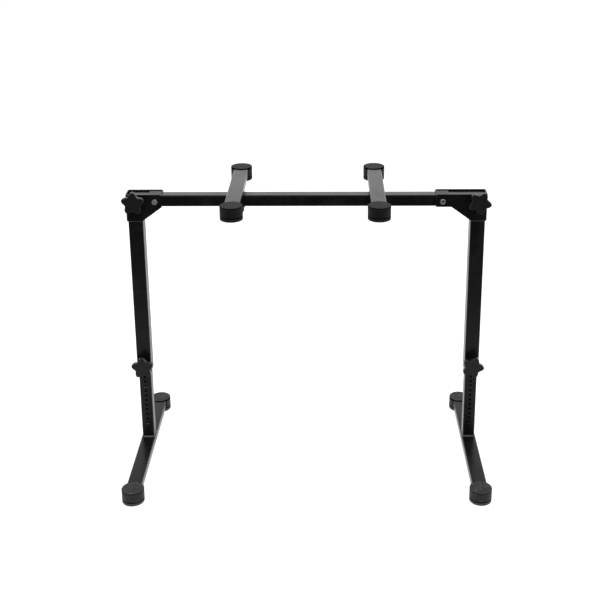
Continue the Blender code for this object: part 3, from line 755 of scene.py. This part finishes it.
def makeInnerTube(side):
    node = "inner_tube_" + side
    slidingCoat = slidingCoats[side]
    centre, size = extent(node)
    front = centre.y - size.y / 2
    row = {"Count": holeRow["count"], "Start": (centre.x, front, holeRow["first"]),
           "Step": (0, 0, holeRow["pitch"]), "Radius": holeRow["radius"], "Depth": 2 * tubeShape["wall"],
           "Sides": holeRow["sides"], "Finish": slidingCoat}
    mesh = grown(squareTube(node, "Z"), drillTree, row)
    for number in range(dotRow["every"], holeRow["count"] + 1, dotRow["every"]):
        dots = (number // dotRow["every"] - 1) % dotRow["most"] + 1  # one dot, then two, then three
        height = holeRow["first"] + (number - 1) * holeRow["pitch"]
        start = (centre.x - dotRow["aside"] - (dots - 1) * dotRow["spacing"], front, height)
        row = {"Count": dots, "Start": start, "Step": (dotRow["spacing"], 0, 0), "Radius": dotRow["radius"],
               "Depth": dotRow["depth"], "Sides": 12, "Finish": slidingCoat}
        mesh = grown(mesh, drillTree, row)
    standsFor(node, shaped(mesh, edge=0.0002), slidingCoat)


def makeBaseBar(side):
    mesh = shaped(squareTube("base_bar_" + side, "Y"), edge=tubeShape["edge"])
    standsFor("base_bar_" + side, mesh, powderCoat)


bracketShape = {"plate": 0.003, "bend": 0.004, "slope": 36.3, "tongueCorner": 0.005, "corner": 0.0015,
                "edge": 0.0003}


def makeBracket(side):
    look = bracketShape
    node = "bracket_" + side
    hand = hands[side]
    low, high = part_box(node)
    legCentre, legSize = extent("leg_tube_" + side)
    pivot = jointPlace["fold_" + side]
    clamp = jointPlace["fold_knob_turn_" + side]
    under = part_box("crossbar")[0].z
    length = high.x - low.x
    depth = high.y - low.y
    inboard = low.x if hand > 0 else high.x  # the tongue's end
    outboard = high.x if hand > 0 else low.x
    legFace = legCentre.x - hand * legSize.x / 2
    channel = [rectangle(2 * length, depth, look["bend"], outboard - hand * length, legCentre.y, 8),
               rectangle(2 * (length - look["plate"]), depth - 2 * look["plate"], look["bend"] - look["plate"],
                         outboard - hand * length, legCentre.y, 8)]
    plate = prism(channel, low.z, high.z, "Z")
    rise = math.tan(math.radians(look["slope"]))
    reach = (under - low.z) / rise
    beyond = outboard + hand * 0.01
    corners = [(beyond, low.z - 0.01, 0), (legFace, low.z - 0.01, 0), (legFace, low.z, 0)]
    if abs(inboard - legFace) > reach:
        corners += [(legFace - hand * reach, under, 0.004), (inboard, under, look["corner"])]
    else:
        corners += [(inboard, low.z + abs(inboard - legFace) * rise, look["corner"])]
    corners += [(inboard, high.z, look["tongueCorner"]), (beyond, high.z, 0)]
    profile = prism([filleted(corners)], low.y - 0.01, high.y + 0.01, "Y")
    holes = [boltHole(pivot.x, pivot.z, low.y - 0.01, high.y + 0.01),
             boltHole(clamp.x, clamp.z, low.y - 0.01, legCentre.y)]
    standsFor(node, shaped(plate, cuts=holes, keep=[profile], edge=look["edge"], segments=3), powderCoat)


saddleShape = {"plate": 0.002, "bend": 0.003, "chamfer": 0.005, "corner": 0.0012, "edge": 0.0003}


def makeSaddle(side):
    look = saddleShape
    node = "arm_saddle_" + side
    low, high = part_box(node)
    bolt = jointPlace["arm_knob_turn_" + side]
    plate, bend = look["plate"], look["bend"]
    inner = bend - plate
    channel = filleted([
        (low.y, low.z, 0), (low.y + plate, low.z, 0), (low.y + plate, high.z - plate, inner),
        (high.y - plate, high.z - plate, inner), (high.y - plate, low.z, 0), (high.y, low.z, 0),
        (high.y, high.z, bend), (low.y, high.z, bend)])
    chamfer, corner = look["chamfer"], look["corner"]
    outline = filleted([
        (low.x, high.z + 0.01, 0), (low.x, low.z + chamfer, corner), (low.x + chamfer, low.z, corner),
        (high.x - chamfer, low.z, corner), (high.x, low.z + chamfer, corner), (high.x, high.z + 0.01, 0)])
    profile = prism([outline], low.y - 0.01, high.y + 0.01, "Y")
    hole = boltHole(bolt.x, bolt.z, low.y - 0.01, high.y + 0.01)
    mesh = shaped(prism([channel], low.x, high.x, "X"), cuts=[hole], keep=[profile], edge=look["edge"])
    standsFor(node, mesh, powderCoat)


def makeArmTube(side):
    mesh = shaped(squareTube("arm_tube_" + side, "Y"), edge=tubeShape["edge"])
    standsFor("arm_tube_" + side, mesh, powderCoat)


footShape = {
    "taper": 0.0002,
    "round": 0.0012,
    "grooveHeight": 0.0090,
    "grooveWidth": 0.0030,
    "grooveDepth": 0.0016,
    "lip": 0.0032,  # top of the foot to the fine groove under its rim
    "lipWidth": 0.0022,
    "lipDepth": 0.0010,
    "treadRings": (0.008, 0.0125, 0.017, 0.0215),
    "treadWidth": 0.0012,
    "treadDepth": 0.0006,
    "air": 0.0003,
    "mouth": 0.0009,  # the pocket widens by this much where the bar enters
    "mouthDepth": 0.004,
    "sides": 96,
}


def makeFoot(node, bar, finish):  # a rubber foot or cap round the end of its bar
    look = footShape
    low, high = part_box(node)
    centre = Vector(((low.x + high.x) / 2, (low.y + high.y) / 2, low.z))
    radius = (high.x - low.x) / 2
    height = high.z - low.z
    lowRadius = radius - look["taper"]
    wall = lowRadius + look["taper"] * look["grooveHeight"] / height
    half, deep = look["grooveWidth"] / 2, look["grooveDepth"]
    lip, slim = height - look["lip"], look["lipWidth"] / 2
    groove = look["grooveHeight"]
    corners = [(0, height, 0), (radius, height, look["round"]),
               (radius, lip + slim, 0.0001), (radius - look["lipDepth"], lip + slim * 0.3, 0.0002),
               (radius - look["lipDepth"], lip - slim * 0.3, 0.0002), (radius, lip - slim, 0.0001),
               (wall, groove + half, 0.0002), (wall - deep, groove + half * 0.8, 0.0002),
               (wall - deep, groove, 0.0002), (wall, groove - half, 0.0003),
               (lowRadius, 0, look["round"])]
    for tread in reversed(look["treadRings"]):
        outer, inner = tread + look["treadWidth"] / 2, tread - look["treadWidth"] / 2
        corners += [(outer, 0, 0.0001), (outer - 0.0002, look["treadDepth"], 0),
                    (inner + 0.0002, look["treadDepth"], 0), (inner, 0, 0.0001)]
    corners.append((0, 0, 0))
    mesh = turned(filleted(corners, 5), look["sides"])
    barLow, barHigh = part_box(bar)
    air = look["air"]
    facing = 1 if centre.y > (barLow.y + barHigh.y) / 2 else -1
    outside = centre.y - facing * 3 * radius

    def pocket(start, spare):
        width, tall = barHigh.x - barLow.x + 2 * spare, barHigh.z - barLow.z + 2 * spare
        outline = rectangle(width, tall, tubeShape["corner"], centre.x, (barLow.z + barHigh.z) / 2)
        return prism([outline], min(start, outside), max(start, outside), "Y")

    end = (barHigh.y if facing > 0 else barLow.y) + facing * air
    # The wall stands back at the bar's sides, so the mouth starts there
    halfBar = (barHigh.x - barLow.x) / 2
    wallAt = centre.y - facing * math.sqrt(radius ** 2 - halfBar ** 2)
    cuts = [pocket(end, air), pocket(wallAt + facing * look["mouthDepth"], air + look["mouth"])]
    mesh = shaped(put(mesh, centre), cuts=cuts)
    rubber = makeRubber(node + "Rubber", centre, radius, height, barHigh.z - low.z, facing, finish)
    standsFor(node, mesh, rubber, angle=40)


screwShape = {"radius": 0.004, "pitch": 0.00125, "threadDepth": 0.0007, "sides": 24, "rowsPerTurn": 8}


def threadedBar(low, high):  # along Y
    look = screwShape
    length = high - low
    rows = int(length / look["pitch"] * look["rowsPerTurn"])
    mesh = grown(bpy.data.meshes.new("start"), threadTree, {
        "Radius": look["radius"], "Length": length, "Pitch": look["pitch"], "Thread Depth": look["threadDepth"],
        "Rows": rows, "Sides": look["sides"], "Finish": zinc})
    mesh.transform(Matrix.Translation((0, (low + high) / 2, 0)) @ Matrix.Rotation(-math.pi / 2, 4, "X"))
    return mesh


hexShape = {"flats": 0.013, "chamfer": 0.0011, "edge": 0.00015}


def hexPiece(low, high, hole=0.0):  # a hexagon along Y whose corners are turned off at both ends
    look = hexShape
    tip = look["flats"] / math.sqrt(3)
    flat = look["flats"] / 2 - 0.0002
    cone = turned([(0, low), (flat, low), (tip + 0.0002, low + look["chamfer"]),
                   (tip + 0.0002, high - look["chamfer"]), (flat, high), (0, high)], 72, "Y")
    cuts = [prism([circle(hole, 40)], low - 0.01, high + 0.01, "Y")] if hole else []
    return shaped(prism([hexagon(look["flats"])], low, high, "Y"), cuts=cuts, keep=[cone], edge=look["edge"])


def makePivot(side):
    pivot = jointPlace["fold_" + side]
    low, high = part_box("pivot_bolt_" + side)
    nutLow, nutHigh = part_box("pivot_nut_" + side)
    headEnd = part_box("bracket_" + side)[0].y - footShape["air"]
    origin = Vector((pivot.x, 0, pivot.z))
    bolt = joined(hexPiece(low.y, headEnd), threadedBar(headEnd - 0.001, high.y))
    standsFor("pivot_bolt_" + side, put(bolt, origin), zinc)
    nut = hexPiece(nutLow.y, nutHigh.y, tubeShape["boltHole"])
    standsFor("pivot_nut_" + side, put(nut, origin), zinc)


clampShape = {"bossEdge": 0.0007, "washerEdge": 0.0003}
bigKnob = {"lobes": 5, "perLobe": 24, "tip": 0.0298, "valley": 0.0205, "thickness": 0.013, "hub": 0.006,
           "hubRadius": 0.0115, "front": 0.0013, "back": 0.0018, "crown": 0.0, "draft": 0.0003, "fillet": 0.0015,
           "edge": 0.0006, "bore": 0.0043, "depth": 0.015, "steps": 6}
smallKnob = {"lobes": 5, "perLobe": 20, "tip": 0.018, "valley": 0.0125, "thickness": 0.010, "hub": 0.004,
             "hubRadius": 0.009, "front": 0.0012, "back": 0.0015, "crown": 0.0, "draft": 0.0002, "fillet": 0.001,
             "edge": 0.0005, "bore": 0.0043, "depth": 0.010, "steps": 5}
knobTurns = {"fold_left": 1, "fold_right": 29, "height_left": -4, "height_right": 21}  # degrees, clockwise


def ringFor(node, hole, edge):  # a turned ring that fills a node's box
    centre, size = extent(node)
    mesh = ring(size.x / 2, hole, -size.y / 2, size.y / 2, edge)
    return put(mesh, centre)


def makeClamp(place, side):  # boss, washer, screw and knob at the front of a leg
    knobCentre = jointPlace[f"{place}_knob_turn_{side}"]
    hole = tubeShape["boltHole"]
    boss, washer = f"{place}_boss_{side}", f"{place}_washer_{side}"
    standsFor(boss, ringFor(boss, hole, clampShape["bossEdge"]), powderCoat)
    standsFor(washer, ringFor(washer, hole, clampShape["washerEdge"]), zinc)
    screw = f"{place}_screw_{side}"
    low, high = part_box(screw)
    axis = Vector((knobCentre.x, 0, knobCentre.z))
    standsFor(screw, put(threadedBar(low.y, high.y), axis), zinc)
    knob = f"{place}_knob_{side}"
    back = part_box(knob)[1].y
    mesh = starKnob(bigKnob)
    mesh.transform(Matrix.Rotation(math.radians(knobTurns[f"{place}_{side}"]), 4, "Y"))
    centre = Vector((knobCentre.x, back, knobCentre.z))
    standsFor(knob, put(mesh, centre), makeKnobPlastic(knob + "Plastic", centre, bigKnob, -1))


def makeArmClamp(side):  # bolt, washer and knob behind the saddle of an arm
    axis = jointPlace["arm_knob_turn_" + side].copy()
    axis.y = 0
    low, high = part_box("arm_bolt_" + side)
    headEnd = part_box("arm_saddle_" + side)[0].y - footShape["air"]
    headRadius = extent("arm_bolt_" + side)[1].x / 2
    deep = headEnd - low.y
    dome = [(0, low.y)] + [(headRadius * math.sin(turn), headEnd - 0.0006 - (deep - 0.0006) * math.cos(turn))
                           for turn in (math.radians(15 * step) for step in range(1, 7))]
    head = turned(dome + [(headRadius, headEnd), (0, headEnd)], 48, "Y")
    square = prism([rectangle(0.0078, 0.0078, 0.0004)], headEnd - 0.0005, headEnd + 0.0022, "Y")
    bolt = joined(head, square, threadedBar(headEnd - 0.001, high.y))
    standsFor("arm_bolt_" + side, put(bolt, axis), zinc)
    washer = "arm_washer_" + side
    standsFor(washer, ringFor(washer, tubeShape["boltHole"], clampShape["washerEdge"]), zinc)
    knob = "arm_knob_" + side
    centre = Vector((axis.x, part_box(knob)[0].y, axis.z))
    mesh = starKnob(smallKnob)
    mesh.transform(Matrix.Rotation(math.pi, 4, "Z"))
    standsFor(knob, put(mesh, centre), makeKnobPlastic(knob + "Plastic", centre, smallKnob, 1))


weldShape = {
    "bracketReach": 0.0030,
    "bracketRise": 0.0036,
    "baseReach": 0.0036,
    "baseRise": 0.0030,
    "baseSqueeze": 0.70,  # where the bar is no wider than the tube
    "stop": 0.001,
    "boss": 0.0009,
    "saddle": 0.0012,
    "ripple": 0.0040,
    "relief": 0.012,
}


def pathMesh(points, closedPath=False):
    cage = bmesh.new()
    verts = [cage.verts.new(point) for point in points]
    pairs = list(zip(verts, verts[1:]))
    if closedPath:
        pairs.append((verts[-1], verts[0]))
    for pair in pairs:
        cage.edges.new(pair)
    mesh = bpy.data.meshes.new("path")
    cage.to_mesh(mesh)
    cage.free()
    return mesh


def bead(tree, points, reach, rise, seed, closedPath=False):
    mesh = grown(pathMesh(points, closedPath), tree, {
        "Reach": reach, "Rise": rise, "Ripple": weldShape["ripple"], "Relief": weldShape["relief"],
        "Seed": float(seed), "Finish": powderCoat})
    cage = bmesh.new()
    cage.from_mesh(mesh)
    return closed(cage, "bead")


def makeWelds(side, seed):
    look = weldShape
    hand = hands[side]
    centre, size = extent("leg_tube_" + side)
    half = size.x / 2
    front, rear = centre.y - half, centre.y + half
    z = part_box("bracket_" + side)[0].z
    start = centre.x - hand * (half - look["stop"])
    end = centre.x + hand * half
    bend = tubeShape["corner"]
    turns = [(bend * math.sin(turn), bend * (1 - math.cos(turn))) for turn in (math.radians(15 * i) for i in range(7))]
    points = [(start, front, z)]
    points += [(end - hand * (bend - a), front + b, z) for a, b in turns]
    points += [(end - hand * b, rear - bend + a, z) for a, b in turns]
    points.append((start, rear, z))
    if hand < 0:  # the outside stays on the path's right
        points.reverse()
    mesh = bead(filletTree, points, look["bracketReach"], look["bracketRise"], seed)
    standsFor("bracket_weld_" + side, mesh, weldCoat, angle=60)

    centre, size = extent("inner_tube_" + side)
    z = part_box("base_bar_" + side)[1].z
    outline = rectangle(size.x, size.y, tubeShape["corner"], centre.x, centre.y)
    mesh = bead(filletTree, [(x, y, z) for x, y in outline], look["baseReach"], -look["baseRise"], seed + 1, True)
    for vert in mesh.vertices:
        aside = vert.co.x - centre.x
        over = max(abs(aside) - size.x / 2, 0)
        vert.co.x -= math.copysign(over * look["baseSqueeze"], aside)
    standsFor("base_weld_" + side, mesh, weldCoat, angle=60)

    leg = "leg_" + side
    for place, carrier in (("fold", "bracket_"), ("height", "leg_tube_")):
        boss = jointPlace[f"{place}_knob_turn_{side}"]
        radius = extent(f"{place}_boss_{side}")[1].x / 2 + look["boss"] * 0.3
        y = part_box(carrier + side)[0].y - look["boss"] * 0.3
        outline = circle(radius, 60, boss.x, boss.z)
        mesh = bead(roundTree, [(x, y, z) for x, z in outline], look["boss"], 0.0, seed + 2, True)
        finishPiece(f"{place}_boss_weld_{side}", mesh, powderCoat, leg, "powder_coat", angle=60)

    low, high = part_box("arm_saddle_" + side)
    beads = []
    for y, out in ((low.y, 1), (high.y, -1)):
        along = [(low.x + 0.006, y + out * 0.0016, high.z), (high.x - 0.006, y + out * 0.0016, high.z)]
        beads.append(bead(roundTree, along, look["saddle"], 0.0, seed + 3))
    finishPiece("saddle_welds_" + side, joined(*beads), powderCoat, "arm_" + side, "powder_coat", angle=60)


makeCrossbar()
for seed, side in enumerate(hands):
    makeLegTubes(side)
    makeInnerTube(side)
    makeBaseBar(side)
    print("tubes ready,", side)
    makeBracket(side)
    makeSaddle(side)
    makeArmTube(side)
    makeWelds(side, 10 * seed)
    print("plates and welds ready,", side)
    for node in ("foot_front_", "foot_rear_"):
        makeFoot(node + side, "base_bar_" + side, rubberFinish)
    for node in ("arm_cap_front_", "arm_cap_rear_"):
        makeFoot(node + side, "arm_tube_" + side, shadedCapFinish)
    print("feet and caps ready,", side)
    makePivot(side)
    makeClamp("fold", side)
    makeClamp("height", side)
    makeArmClamp(side)
    print("clamps ready,", side)


# The studio: a plain pale floor that runs out of sight, a white surround and three soft lamps
studio = {
    "floorReach": 60.0,
    "floorColor": gray(0.42),
    "floorGlow": 0.80,
    "mirroredFar": 0.03,  # what shiny pieces see of the floor, in front and under the stand
    "mirroredNear": 1.2,
    "mirroredFade": (-1.75, -0.10),
    "surround": 1.0,
    "horizon": 1.6,
    "overhead": 0.40,
    "overheadFade": (0.45, 0.58),
    "front": 0.30,
    "ambient": 0.50,
    "lamps": [  # place, size, watts
        ((-0.2, -1.5, 3.3), 2.8, 75.0),
        ((2.8, -0.6, 2.6), 2.0, 45.0),
        ((-2.8, 1.0, 2.6), 2.0, 45.0),
    ],
}


def makeFloorTree():  # the floor sinks with the lowest foot when a leg is lengthened
    tree, graph, entry = newTree("floorUnderFeet", [])
    lowest = 0.0
    for side in hands:
        for end in ("front", "rear"):
            foot = bpy.data.objects[f"foot_{end}_{side}_finished"]
            shape = graph.node("GeometryNodeObjectInfo", {"transform_space": "RELATIVE"}, {"Object": foot}, "Geometry")
            x, y, z = graph.parts(graph.node("GeometryNodeBoundBox", {}, {"Geometry": shape}, "Min"))
            lowest = graph.maths("MINIMUM", z, lowest)
    drop = graph.node("ShaderNodeCombineXYZ", {}, {2: lowest})
    moved = graph.node("GeometryNodeSetPosition", {}, {"Geometry": entry["Geometry"], "Offset": drop})
    graph.node("NodeGroupOutput", {}, {0: moved})
    return tree


def makeFloor():
    reach = studio["floorReach"]
    cage = bmesh.new()
    bmesh.ops.create_grid(cage, x_segments=1, y_segments=1, size=reach)
    mesh = bpy.data.meshes.new("studioFloor")
    cage.to_mesh(mesh)
    cage.free()
    material = bpy.data.materials.new("studioFloor")
    material.use_nodes = True
    material.node_tree.nodes.clear()
    graph = Graph(material.node_tree)
    rays = graph.node("ShaderNodeLightPath", {}, {}, "Is Camera Ray")
    glossy = graph.maths("MAXIMUM", rays.also("Is Glossy Ray"), rays.also("Is Transmission Ray"))
    matt = graph.node("ShaderNodeBsdfDiffuse", {}, {"Color": studio["floorColor"]}, "BSDF")
    glow = graph.node("ShaderNodeEmission", {}, {"Color": gray(1.0), "Strength": rays * studio["floorGlow"]})
    seen = graph.node("ShaderNodeAddShader", {}, {0: matt, 1: glow})
    across, ahead, up = graph.parts(graph.node("ShaderNodeTexCoord", {}, {}, "Object"))
    near = graph.within(ahead, *studio["mirroredFade"])
    strength = studio["mirroredFar"] + near * (studio["mirroredNear"] - studio["mirroredFar"])
    mirrored = graph.node("ShaderNodeEmission", {}, {"Color": gray(1.0), "Strength": strength})
    both = graph.node("ShaderNodeMixShader", {}, {0: glossy, 1: seen, 2: mirrored})
    graph.node("ShaderNodeOutputMaterial", {}, {"Surface": both})
    mesh.materials.append(material)
    floor = bpy.data.objects.new("studioFloor", mesh)
    scene.collection.objects.link(floor)
    floor.modifiers.new("underFeet", "NODES").node_group = makeFloorTree()


def makeSurround():
    world = bpy.data.worlds.new("studioSurround")
    scene.world = world
    world.use_nodes = True
    world.node_tree.nodes.clear()
    graph = Graph(world.node_tree)
    rays = graph.node("ShaderNodeLightPath", {}, {}, "Is Camera Ray")
    glossy = graph.maths("MAXIMUM", rays.also("Is Glossy Ray"), rays.also("Is Transmission Ray"))
    heading = graph.node("ShaderNodeTexCoord", {}, {}, "Generated")
    across, ahead, up = graph.parts(heading)
    high = graph.within(up, *studio["overheadFade"])
    mirrored = studio["horizon"] - high * (studio["horizon"] - studio["overhead"])
    mirrored = mirrored * (studio["front"] + graph.within(ahead, -0.5, 0.1) * (1 - studio["front"]))
    strength = studio["ambient"] * (1 - glossy) + mirrored * glossy
    strength = strength * (1 - rays) + rays * studio["surround"]
    back = graph.node("ShaderNodeBackground", {}, {"Color": gray(1.0), "Strength": strength})
    graph.node("ShaderNodeOutputWorld", {}, {"Surface": back})


def makeLamps():
    for number, (place, size, watts) in enumerate(studio["lamps"]):
        light = bpy.data.lights.new(f"softLamp{number}", "AREA")
        light.shape = "DISK"
        light.size = size
        light.energy = watts
        lamp = bpy.data.objects.new(f"softLamp{number}", light)
        lamp.location = place
        lamp.rotation_euler = (Vector((0, 0, 0.35)) - Vector(place)).to_track_quat("-Z", "Y").to_euler()
        scene.collection.objects.link(lamp)


cameraSetup = {
    "place": (0.05605, -2.5632, 1.58728),
    "downward": 17.628,  # degrees
    "roll": -0.098,
    "lens": 62.688,
    "shift": (-0.04003, -0.19869),
}


def makeCamera():
    data = bpy.data.cameras.new("photoCamera")
    data.lens = cameraSetup["lens"]
    data.shift_x, data.shift_y = cameraSetup["shift"]
    data.clip_end = 200
    camera = bpy.data.objects.new("photoCamera", data)
    tilt = Matrix.Rotation(math.radians(90 - cameraSetup["downward"]), 4, "X")
    roll = Matrix.Rotation(math.radians(cameraSetup["roll"]), 4, "Z")
    camera.matrix_world = Matrix.Translation(cameraSetup["place"]) @ tilt @ roll
    scene.collection.objects.link(camera)
    scene.camera = camera


makeFloor()
makeSurround()
makeLamps()
makeCamera()
scene.view_settings.view_transform = "Standard"
print("studio ready")
